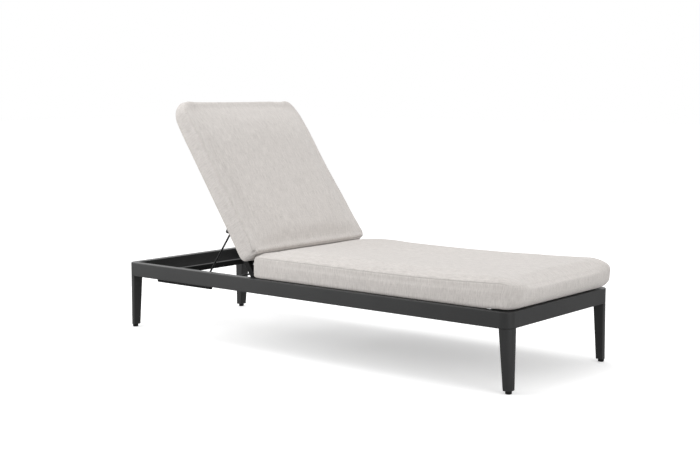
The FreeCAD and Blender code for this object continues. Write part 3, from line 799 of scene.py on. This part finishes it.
def makePad(pad, name):
    solid, tree = solidCopy(pad)
    mesh = cleanGrid(pad, solid)
    rest = takeSpots(mesh)
    kept = mesh.attributes.new("restPlace", "FLOAT_VECTOR", "POINT")
    kept.data.foreach_set("vector", rest.ravel())
    evened(mesh, 3)
    spots = takeSpots(mesh)
    spots -= takeNormals(mesh) * pad["shrink"]
    low, high = pad["ends"]
    middle = (low + high) / 2
    shareLong = (rest[:, 0] - middle) / ((high - low) / 2)
    shareWide = rest[:, 1] / pad["half"]
    spots[:, 1] -= pad["drawIn"] * shareWide * np.clip(1 - shareLong ** 2, 0, 1)
    spots[:, 0] -= pad["drawIn"] * shareLong * np.clip(1 - shareWide ** 2, 0, 1)
    putSpots(mesh, spots)
    blownUp(pad, mesh)
    spots = takeSpots(mesh)
    heart = (np.hypot(rest[:, 0] - middle, rest[:, 1]) < 0.05) & (rest[:, 2] > pad["seamHeight"])
    spots[:, 2] *= pad["crown"] / spots[heart, 2].mean()
    pad["shape"](pad, spots, rest)
    putSpots(mesh, spots)
    heldIn(pad, mesh, tree)
    evened(mesh, 2)
    firmEdge(pad, mesh, rest)
    spots = takeSpots(mesh)
    spots[:, 2] += pad["pressedUp"](rest)
    putSpots(mesh, spots)
    mesh = finerMesh(mesh, name)
    rest = takeVectors(mesh.attributes["restPlace"].data, "vector")
    travel = sewn(pad, mesh, rest)
    panelMap(pad, mesh, rest, travel)
    mesh.attributes.remove(mesh.attributes["restPlace"])
    mesh.transform(pad["place"])
    mesh.materials.append(heatheredCloth)
    mesh.shade_smooth()
    piece = linked(name, mesh)
    print(name, "made,", len(mesh.polygons), "faces")
    return piece


def rise(value, low, high):
    share = np.clip((value - low) / (high - low), 0.0, 1.0)
    return share * share * (3 - 2 * share)


def nowhere(spots):
    return np.zeros(len(spots))


# metres added where each cushion departs from an even filling; the numbers beside them are
# places in the cushion's own frame: x from head or lower end, y across, z up from its underside
seatShape = {
    "full": 0.019,          # crown near the sides
    "footRise": 0.007,
    "footEdge": 0.009,
    "headNear": 0.003,
    "midSag": 0.002,
    "sideOut": 0.0015,
    "footOut": 0.003,
    "cornerUp": 0.006,
    "cornerOut": 0.008,
    "cornerWide": 0.003,
    "pressedUp": 0.009,     # bulge in front of the back cushion
    "sideLift": 0.0032,     # lower edge, over the rail
    "footLift": 0.004,
    "cornerLift": 0.005,
}

backShape = {
    "sag": 0.004,           # where it hangs over the top bar
    "full": 0.006,
    "farLow": 0.004,
    "farTop": 0.005,
    "wideNear": 0.040,      # shares of the width
    "wideNearMid": 0.008,
    "wideFar": 0.02,
    "narrowFarTop": 0.014,
    "topOut": 0.008,
    "topOutFar": 0.005,
    "lowSquare": 0.003,
    "topSquare": 0.005,
    "cornerOut": (0.007, 0.012),    # near, far
    "cornerIn": 0.004,
    "seamDrop": 0.006,
}


def shapeSeat(pad, spots, rest):
    # full to its edges, fullest at the foot end, a slight sag at mid length
    look = seatShape
    x, y, z = rest.T
    upper = np.clip(z / pad["seamHeight"], 0.0, 1.2)
    side = np.sin(np.pi * np.clip(z / pad["seamHeight"], 0.0, 1.0))
    clear = rise(x, -0.16, -0.03)
    beside = np.clip(pad["half"] - np.abs(y), 0.0, 1.0)
    full = rise(beside, 0.004, 0.034) * np.exp(-beside / 0.25) * (z > pad["seamHeight"])
    spots[:, 2] += look["full"] * full * clear * rise(pad["ends"][1] - x, 0.0, 0.11)
    spots[:, 2] += look["footRise"] * rise(x, 0.55, 0.95) * upper
    footEdge = rise(x, 0.74, 0.98) * rise(upper, 0.2, 1.0)
    spots[:, 2] += look["footEdge"] * footEdge * (0.35 + 0.65 * rise(beside, 0.0, 0.06))
    headNear = rise(y, 0.05, 0.3) * rise(x, -0.22, -0.12) * (1 - rise(x, 0, 0.12))
    spots[:, 2] += look["headNear"] * headNear * upper
    spots[:, 2] -= look["midSag"] * np.exp(-((x - 0.35) / 0.25) ** 2) * upper
    spots[:, 1] += np.sign(y) * look["sideOut"] * side * clear * rise(np.abs(y), 0.2, 0.34)
    spots[:, 0] += look["footOut"] * rise(x, 0.9, 1.02) * side
    corner = rise(x, 0.9, 1.0) * rise(np.abs(y), 0.24, 0.33) * rise(upper, 0.55, 1.0)
    spots[:, 2] += look["cornerUp"] * corner
    spots[:, 0] += look["cornerOut"] * corner
    spots[:, 1] += np.sign(y) * look["cornerWide"] * corner
    spots[:, 2] += pad["lifted"](rest) * (1 - rise(z, 0.01, 0.06))


def shapeBack(pad, spots, rest):
    # full to its sides and square at its top corners, where it hangs over its bar
    look = backShape
    x, y, z = rest.T
    near = y > 0
    upper = rise(z, 0.03, 0.08)
    farSide = rise(-y, 0.15, 0.35)
    top = rise(x, 0.25, 0.5)
    spots[:, 2] -= look["sag"] * rise(x, 0.62, 0.83) * rise(z, 0.0, 0.04)
    spots[:, 2] += look["full"] * upper * (1 - rise(x, 0.62, 0.8))
    spots[:, 2] += farSide * upper * (look["farLow"] * (1 - rise(x, 0.08, 0.25)) - look["farTop"] * top)
    middle = rise(x, 0.1, 0.4) * (1 - rise(x, 0.6, 0.75))
    spots[:, 1] *= np.where(near, 1 + look["wideNear"] + look["wideNearMid"] * middle,
                            1 + look["wideFar"] - look["narrowFarTop"] * top)
    spots[:, 0] += (look["topOut"] - look["topOutFar"] * farSide) * rise(x, 0.7, 0.83)
    square = look["lowSquare"] * (1 - rise(x, 0.08, 0.2)) + look["topSquare"] * rise(x, 0.76, 0.82)
    spots[:, 2] += rise(z, 0.055, 0.08) * square
    corner = rise(np.abs(y), 0.26, 0.34) * rise(x, 0.73, 0.81)
    spots[:, 0] += np.where(near, *look["cornerOut"]) * corner
    spots[:, 1] -= np.where(near, look["cornerIn"], 0.0) * corner
    spots[:, 2] = np.maximum(spots[:, 2], 0.0)


def seatLifted(spots):
    # the lower edge stands a little off the rail, more at the foot end and its corners
    x = spots[:, 0]
    out = np.abs(spots[:, 1])
    footCorner = rise(x, 0.86, 0.96) * rise(out, 0.28, 0.35)
    return (seatShape["sideLift"] * rise(out, 0.338, 0.351) * rise(x, -0.2, -0.1)
            + seatShape["footLift"] * rise(x, 0.985, 1.005) + seatShape["cornerLift"] * footCorner)


def seatPressedUp(rest):
    x, y, z = rest.T
    return (seatShape["pressedUp"] * rise(x, -0.247, -0.222) * (1 - rise(x, -0.19, -0.02))
            * rise(z, 0.04, 0.09) * rise(seatPad["half"] - np.abs(y), 0.0, 0.06))


def backPuckers(rest):
    # small folds round the lower corners, where the cover is drawn tight
    x, y, z = rest.T
    return np.exp(-((x - 0.077) / 0.014) ** 2 - ((np.abs(y) - 0.338) / 0.026) ** 2 - ((z - 0.072) / 0.022) ** 2)


seatPad.update({
    "shape": shapeSeat,
    "lifted": seatLifted,
    "pressedUp": seatPressedUp,
    "puckers": nowhere,
    "seamShown": lambda rest: rise(rest[:, 0], -0.235, -0.17) * (1 - 0.85 * rise(rest[:, 0], 0.93, 0.99)),
    "seamKept": lambda rest: 1 - 0.75 * rise(rest[:, 0], 0.93, 1.0),
    "seamDrop": nowhere,
})
backPad.update({
    "shape": shapeBack,
    "lifted": nowhere,
    "pressedUp": nowhere,
    "puckers": backPuckers,
    "seamShown": lambda rest: 0.15 + 0.85 * (1 - rise(rest[:, 0], 0.1, 0.2)),
    "seamKept": lambda rest: 1 - nowhere(rest),
    "seamDrop": lambda rest: backShape["seamDrop"] * (1 - rise(rest[:, 0], 0.09, 0.14)),
})

seatCushion = makePad(seatPad, "seat_cushion_cover")
backCushion = makePad(backPad, "back_cushion_cover")
for piece, pad, body in ((seatCushion, seatPad, "frame"), (backCushion, backPad, "back_cushion")):
    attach(piece, body)
    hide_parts(pad["node"])
print("cushions filled")


# small repeated shapes laid along a path: weld ripples, stitches, zip teeth
def makePathTree():
    tree, start, end = startGroup("shapesAlongPath", (
        ("Geometry", "Geometry", None),
        ("Pitch", "Float", 0.003),
        ("Size", "Vector", (0.002, 0.002, 0.002)),
        ("Unevenness", "Float", 0.1),
        ("Seed", "Int", 1),
        ("Finish", "Material", None),
    ), (("Geometry", "Geometry"),), family="GeometryNodeTree")
    curve = tree.nodes.new("GeometryNodeMeshToCurve")
    even = addNode(tree, "GeometryNodeResampleCurve", mode="LENGTH")
    spots = addNode(tree, "GeometryNodeCurveToPoints", mode="EVALUATED")
    shape = addNode(tree, "GeometryNodeMeshUVSphere", {"Radius": 1.0, "Segments": 8, "Rings": 5})
    vary = addNode(tree, "FunctionNodeRandomValue", data_type="FLOAT")
    low = addNode(tree, "ShaderNodeMath", {0: 1.0}, operation="SUBTRACT")
    high = addNode(tree, "ShaderNodeMath", {0: 1.0}, operation="ADD")
    scale = addNode(tree, "ShaderNodeVectorMath", operation="SCALE")
    copies = tree.nodes.new("GeometryNodeInstanceOnPoints")
    real = tree.nodes.new("GeometryNodeRealizeInstances")
    smooth = tree.nodes.new("GeometryNodeSetShadeSmooth")
    finish = tree.nodes.new("GeometryNodeSetMaterial")
    for fromNode, output, toNode, socket in (
            (start, "Geometry", curve, "Mesh"), (curve, "Curve", even, "Curve"),
            (start, "Pitch", even, "Length"), (even, "Curve", spots, "Curve"),
            (start, "Unevenness", low, 1), (start, "Unevenness", high, 1),
            (low, 0, vary, 2), (high, 0, vary, 3), (start, "Seed", vary, "Seed"),
            (start, "Size", scale, 0), (vary, 1, scale, "Scale"),
            (spots, "Points", copies, "Points"), (spots, "Rotation", copies, "Rotation"),
            (shape, "Mesh", copies, "Instance"), (scale, 0, copies, "Scale"),
            (copies, "Instances", real, 0), (real, 0, smooth, "Geometry"),
            (smooth, 0, finish, "Geometry"), (start, "Finish", finish, "Material"),
            (finish, 0, end, "Geometry")):
        join(tree, fromNode.outputs[output], toNode.inputs[socket])
    return tree


pathTree = makePathTree()


def alongPaths(name, paths, body, slot, **values):
    # paths are lists of points in place; closed ones repeat their first point
    points = []
    edges = []
    for path in paths:
        first = len(points)
        points.extend(path)
        edges.extend((first + step, first + step + 1) for step in range(len(path) - 1))
    mesh = bpy.data.meshes.new(name + "Path")
    mesh.from_pydata([tuple(point) for point in points], edges, [])
    guide = linked(name + "Guide", mesh)
    made = guide.modifiers.new("shapes", "NODES")
    made.node_group = pathTree
    for item in pathTree.interface.items_tree:
        if item.in_out == "INPUT" and item.name in values:
            made[item.identifier] = values[item.name]
    result = baked(guide, name)
    guide.modifiers.remove(made)
    bpy.data.objects.remove(guide)
    piece = linked(name, result)
    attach(piece, body)
    print(name, "laid,", len(result.polygons), "faces")
    return piece


def boxIn(node, place):
    spots = takeSpots(nodes[node].data)
    turned = np.array(place.inverted())
    spots = spots @ turned[:3, :3].T + turned[:3, 3]
    return spots.min(axis=0), spots.max(axis=0)


# welds: beads below and at both edges of each cross bar's end, ground flush on the cushion's side
weld = {
    "pitch": 0.0022,
    "bead": (0.0019, 0.0019, 0.0017),
    "uneven": 0.16,
    "seed": 5,
    "sunk": 0.0008,         # into the bar's end
    "proud": 0.0006,
    "openTop": 0.0022,      # bare at the cushion's side
    "ledgeStart": 0.03,
    "ledgeRun": 0.032,
    "ledgeGap": 0.145,
    "ledgeSide": 0.3344,
    "armSide": 0.3,
    "armAbove": 0.0046,     # over the foot rod's middle
    "armRound": 0.0042,
    "armSteps": 17,
    "armPitch": 0.0013,
    "armBead": (0.0011, 0.0011, 0.001),
}


def barWeld(node, place, end, closed=False):
    low, high = boxIn(node, place)
    across = (high[1] if end > 0 else low[1]) - end * weld["sunk"]
    out = weld["proud"]
    x0, x1, z0, z1 = low[0] - out, high[0] + out, low[2] - out, high[2] - (0.0 if closed else weld["openTop"])
    path = [(x0, across, z1), (x0, across, z0), (x1, across, z0), (x1, across, z1)]
    if closed:
        path.append(path[0])
    return [place @ Vector(point) for point in path]


def ledgeWelds(side):
    low, high = boxIn("slat_ledge_near" if side < 0 else "slat_ledge_far", Matrix.Identity(4))
    runs = []
    x = low[0] + weld["ledgeStart"]
    while x + weld["ledgeRun"] < high[0]:
        runs.append([Vector((place, side * weld["ledgeSide"], low[2])) for place in (x, x + weld["ledgeRun"])])
        x += weld["ledgeGap"]
    return runs


def rodWeld(side):
    # round each prop arm where it meets the foot rod
    low, high = boxIn("prop_foot_rod", Matrix.Identity(4))
    across = weld["armSide"] * side
    pin = jointPlace("prop_swing")
    heart = Vector(((low[0] + high[0]) / 2, across, (low[2] + high[2]) / 2))
    lean = (Vector((pin.x, across, pin.z)) - heart).normalized()
    beside = Vector((0.0, 1.0, 0.0))
    front = lean.cross(beside)
    heart += lean * weld["armAbove"]
    return [heart + (beside * math.cos(turn) + front * math.sin(turn)) * weld["armRound"]
            for turn in np.linspace(0, 2 * math.pi, weld["armSteps"])]


def makeWelds():
    flat = Matrix.Identity(4)
    tilted = backPlace()
    framePaths = [barWeld(node, flat, end, True) for node in ("mid_tube", "rest_tube") for end in (-1, 1)]
    framePaths += ledgeWelds(-1) + ledgeWelds(1)
    bars = ["back_top_bar", "back_bottom_bar"] + ["back_slat_" + str(number) for number in range(1, 6)]
    backPaths = [barWeld(node, tilted, end) for node in bars for end in (-1, 1)]
    armPaths = [rodWeld(-1), rodWeld(1)]
    # the frame and back welds take the inside coat, with its painted shade
    for name, paths, body, slot, pitch, size in (
            ("frame_welds", framePaths, "frame", "inner_coat", weld["pitch"], weld["bead"]),
            ("back_welds", backPaths, "back", "inner_coat", weld["pitch"], weld["bead"]),
            ("prop_welds", armPaths, "prop", "prop_coat", weld["armPitch"], weld["armBead"])):
        alongPaths(name, paths, body, slot, Pitch=pitch, Size=size, Unevenness=weld["uneven"],
                   Seed=weld["seed"], Finish=hardMaterials[slot])


makeWelds()
print("welds run")


# zips: tape, teeth, slider and a row of stitches each side, on the back cushion's top end
# and on the seat cushion's head end
zipLook = {
    "steps": 72,
    "tapeWide": 0.024,
    "tapeLift": 0.0007,     # over the cover
    "tapeThick": 0.0012,
    "edgeLift": 0.0001,
    "edgeIn": 0.0012,
    "troughWide": 0.0028,   # half of it
    "troughLift": 0.0004,
    "teethLift": 0.0009,
    "teethPitch": 0.0021,
    "tooth": (0.0009, 0.0026, 0.0007),
    "stitchPitch": 0.0036,
    "stitch": (0.00035, 0.00035, 0.0013),
    "stitchIn": 0.0024,
    "sliderBack": 0.012,    # from the end of the run
    "sliderLift": 0.0008,
    "probe": 0.05,          # starts outside the cover by this much
}
tapeCloth = {
    "dark": (0.42, 0.395, 0.375), "light": (0.62, 0.59, 0.565),
    "threads": 1500.0, "bump": 0.0003, "rough": 0.85,
}
thread = {
    "low": (0.55, 0.52, 0.49), "high": (0.7, 0.67, 0.64),
    "grain": 2600.0, "rough": (0.6, 0.75),
}
sliderParts = (             # middle, half size, rounding: body, then pull tab
    ((0.0, 0.0, 0.0016), (0.0075, 0.0042, 0.0016), 0.0012),
    ((0.012, 0.0, 0.0030), (0.0115, 0.0032, 0.0006), 0.0005),
)
sliderTaper = 0.22


def tapeMaterial():
    material, tree, shader = startMaterial("zipTape")
    weave = useWeave(tree, tapeCloth)
    ownPlace(tree, weave.inputs["Vector"])
    join(tree, weave.outputs["Yarn"], shader.inputs["Base Color"])
    join(tree, bumpNode(tree, weave.outputs["Height"], 0.5, tapeCloth["bump"]), shader.inputs["Normal"])
    setInputs(shader, {"Roughness": tapeCloth["rough"]})
    return material


def threadMaterial():
    material, tree, shader = startMaterial("sewingThread")
    grain = useGrain(tree, thread)
    join(tree, grain.outputs["Tone"], shader.inputs["Base Color"])
    join(tree, remap(tree, grain.outputs["Scuff"], 0.0, 1.0, *thread["rough"]), shader.inputs["Roughness"])
    return material


zipTape = tapeMaterial()
sewingThread = threadMaterial()


def onCover(cover, start, inward):
    # the point of the cushion's cover straight below a point outside it
    hit = cover.ray_cast(start - inward * zipLook["probe"], inward)
    return hit[0] if hit[0] is not None else start


def slider(spot, run, beside, out):
    # a small bevelled body and its pull tab, both closed shapes
    shape = bmesh.new()
    for middle, (long, wide, tall), rounding in sliderParts:
        made = bmesh.ops.create_cube(shape, size=2.0)["verts"]
        for vert in made:
            x, y, z = vert.co
            taper = 1.0 - sliderTaper * (x > 0)
            vert.co = Vector((x * long, y * wide * taper, z * tall)) + Vector(middle)
        edges = list({edge for vert in made for edge in vert.link_edges})
        bmesh.ops.bevel(shape, geom=edges, offset=rounding, segments=2, affect="EDGES")
    mesh = bpy.data.meshes.new("zipSlider")
    shape.to_mesh(mesh)
    shape.free()
    turn = Matrix((run, beside, out)).transposed().to_4x4()
    mesh.transform(Matrix.Translation(spot) @ turn)
    return mesh


def makeZip(name, cushion, pad, line, side, inward, body):
    # line: start and end in the cushion's own frame; side: across the tape; inward: into the cushion
    shape = bmesh.new()
    shape.from_mesh(cushion.data)
    cover = BVHTree.FromBMesh(shape)
    shape.free()
    place = pad["place"]
    turn = place.to_3x3()
    start, end = (place @ Vector(point) for point in line)
    side = turn @ Vector(side)
    inward = turn @ Vector(inward)
    run = (end - start).normalized()
    steps = zipLook["steps"]
    half = zipLook["tapeWide"] / 2

    def row(offset, lift):
        return [onCover(cover, start.lerp(end, step / steps) + side * offset, inward) - inward * lift
                for step in range(steps + 1)]

    folds = ((half, zipLook["edgeLift"]), (half - zipLook["edgeIn"], zipLook["tapeLift"]),
             (zipLook["troughWide"], zipLook["tapeLift"]))
    columns = [row(-offset, lift) for offset, lift in folds]
    columns.append(row(0.0, zipLook["troughLift"]))
    columns += [row(offset, lift) for offset, lift in reversed(folds)]
    points = [point for column in columns for point in column]
    faces = []
    for column in range(len(columns) - 1):
        for step in range(steps):
            a = column * (steps + 1) + step
            b = a + steps + 1
            faces.append((a, a + 1, b + 1, b))
    mesh = bpy.data.meshes.new(name + "Tape")
    mesh.from_pydata([tuple(point) for point in points], [], faces)
    mesh.update()
    if mesh.polygons[0].normal.dot(inward) > 0:
        mesh.flip_normals()
    raw = linked(name + "Raw", mesh)
    thick = raw.modifiers.new("thick", "SOLIDIFY")
    thick.thickness = zipLook["tapeThick"]
    thick.offset = -1.0
    tape = linked(name + "_tape", baked(raw, name + "_tape"))
    bpy.data.objects.remove(raw)
    tape.data.materials.append(zipTape)
    tape.data.shade_smooth()
    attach(tape, body)
    teeth = [row(0.0, zipLook["teethLift"])]
    alongPaths(name + "_teeth", teeth, body, "black_nylon", Pitch=zipLook["teethPitch"],
               Size=zipLook["tooth"], Unevenness=0.0, Seed=2, Finish=hardMaterials["black_nylon"])
    aside = half - zipLook["stitchIn"]
    rows = [row(sign * aside, zipLook["tapeLift"] + zipLook["edgeLift"]) for sign in (-1, 1)]
    alongPaths(name + "_stitches", rows, body, "cushion_fabric", Pitch=zipLook["stitchPitch"],
               Size=zipLook["stitch"], Unevenness=0.08, Seed=3, Finish=sewingThread)
    spot = onCover(cover, end - run * zipLook["sliderBack"], inward) - inward * zipLook["sliderLift"]
    pull = linked(name + "_slider", slider(spot, -run, inward.cross(run), -inward))
    pull.data.materials.append(hardMaterials["dark_fixings"])
    pull.data.shade_smooth()
    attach(pull, body)


makeZip("back_zip", backCushion, backPad, ((0.83, 0.26, 0.036), (0.83, -0.26, 0.036)),
        (0.0, 0.0, 1.0), (-1.0, 0.0, 0.0), "back_cushion")
makeZip("seat_zip", seatCushion, seatPad, ((-0.247, -0.27, 0.030), (-0.247, 0.27, 0.030)),
        (0.0, 0.0, 1.0), (1.0, 0.0, 0.0), "frame")
print("zips sewn in")
